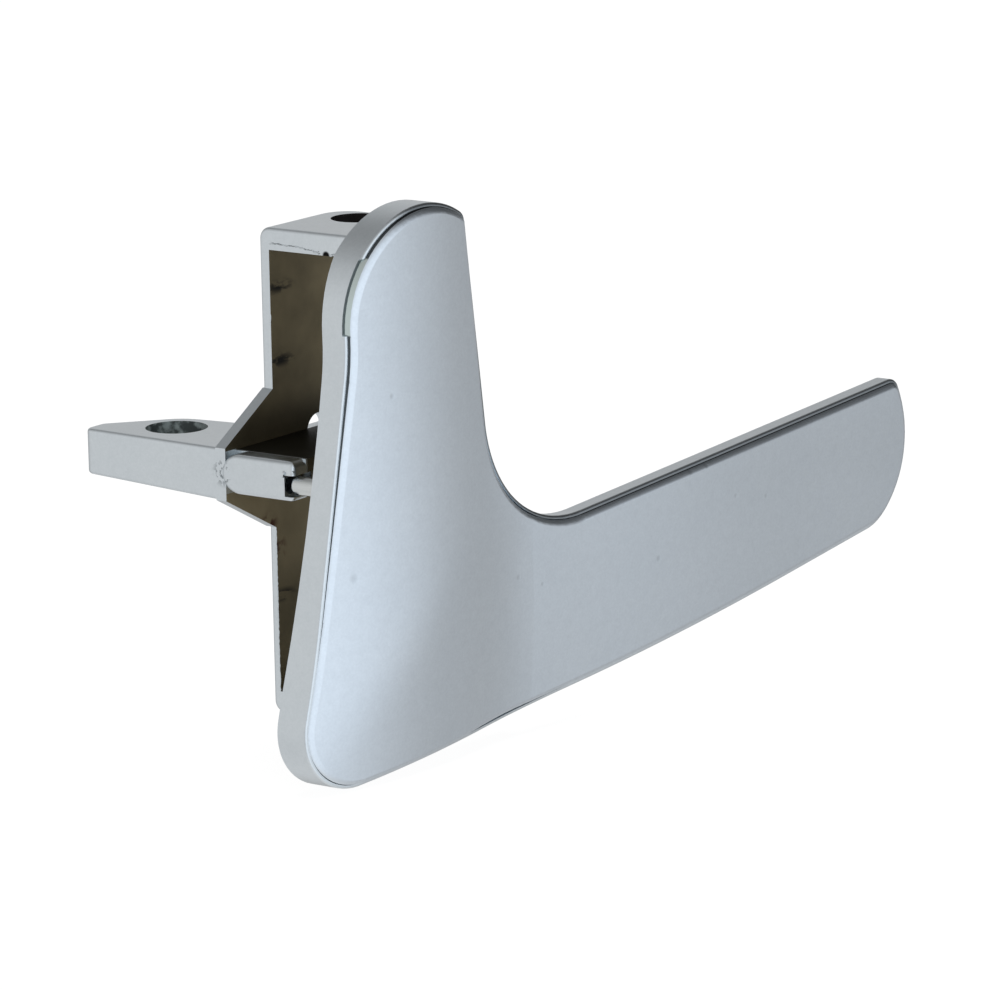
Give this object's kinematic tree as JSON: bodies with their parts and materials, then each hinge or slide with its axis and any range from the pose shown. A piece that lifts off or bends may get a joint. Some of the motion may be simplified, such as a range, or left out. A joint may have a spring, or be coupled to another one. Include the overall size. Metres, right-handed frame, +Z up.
{
  "type": "car interior door handle",
  "caption": "Interior door release handle: a bowed finger arm with a satin cover, on a bright die casting with a pivot bracket and a lever whose eye pulls the latch rod.",
  "frame": {"origin": "on the pivot axis, at the underside of the lower bearing flange", "axes": "+Z up along the pivot axis, +X along the finger arm towards its tip, +Y from the cabin into the door, so that the cover faces -Y"},
  "size_m": [0.1267, 0.0585, 0.0772],
  "materials": {
    "bright_plating": "bright nickel-chrome plating on a zinc die casting, duller and brownish in the recesses",
    "satin_plating": "satin chrome plating, slightly bluish",
    "pin_plating": "bright plated steel"
  },
  "bodies": {
    "root": {"lever_casting": "bright_plating", "face_cover": "satin_plating", "cross_pin": "pin_plating"}
  },
  "joints": []
}
